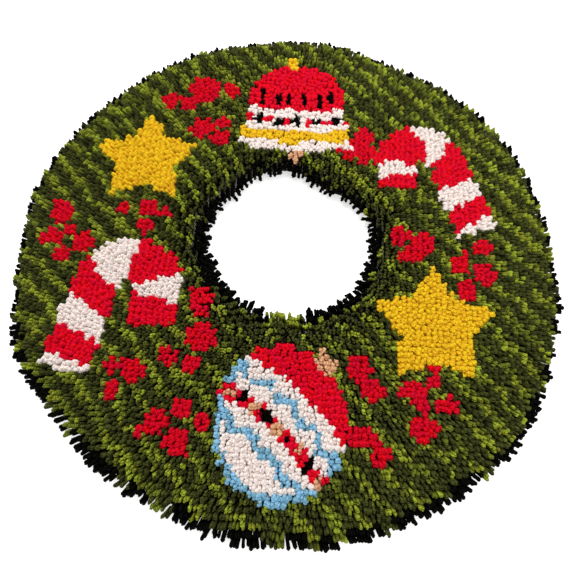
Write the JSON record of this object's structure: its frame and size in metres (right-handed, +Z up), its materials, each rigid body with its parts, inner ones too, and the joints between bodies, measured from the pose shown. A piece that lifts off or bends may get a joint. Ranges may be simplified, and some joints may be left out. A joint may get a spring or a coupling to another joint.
{
  "type": "latch hook wreath rug",
  "caption": "Round latch hook rug with an open centre: a dense cut pile knotted on a ring of rug canvas, with stars, candy canes and berries on a streaked green ground.",
  "frame": {"origin": "middle of the rug's extents on the plane that its canvas rests on", "axes": "+Z up out of the pile, +Y towards the edge by the bell, +X to the right when the stars stand upright"},
  "size_m": [0.6804, 0.6904, 0.0209],
  "materials": {
    "rug_canvas": "stiff cotton mesh",
    "ground_yarn": "cut acrylic rug yarn, matt",
    "edge_yarn": "cut acrylic rug yarn, matt",
    "gold_yarn": "cut acrylic rug yarn, matt",
    "red_yarn": "cut acrylic rug yarn, matt",
    "white_yarn": "cut acrylic rug yarn, matt",
    "blue_yarn": "cut acrylic rug yarn, matt",
    "peach_yarn": "cut acrylic rug yarn, matt"
  },
  "bodies": {
    "root": {"canvas": "rug_canvas", "pile_ground": "ground_yarn", "pile_outer_edge": "edge_yarn", "pile_inner_edge": "edge_yarn"}
  },
  "joints": []
}
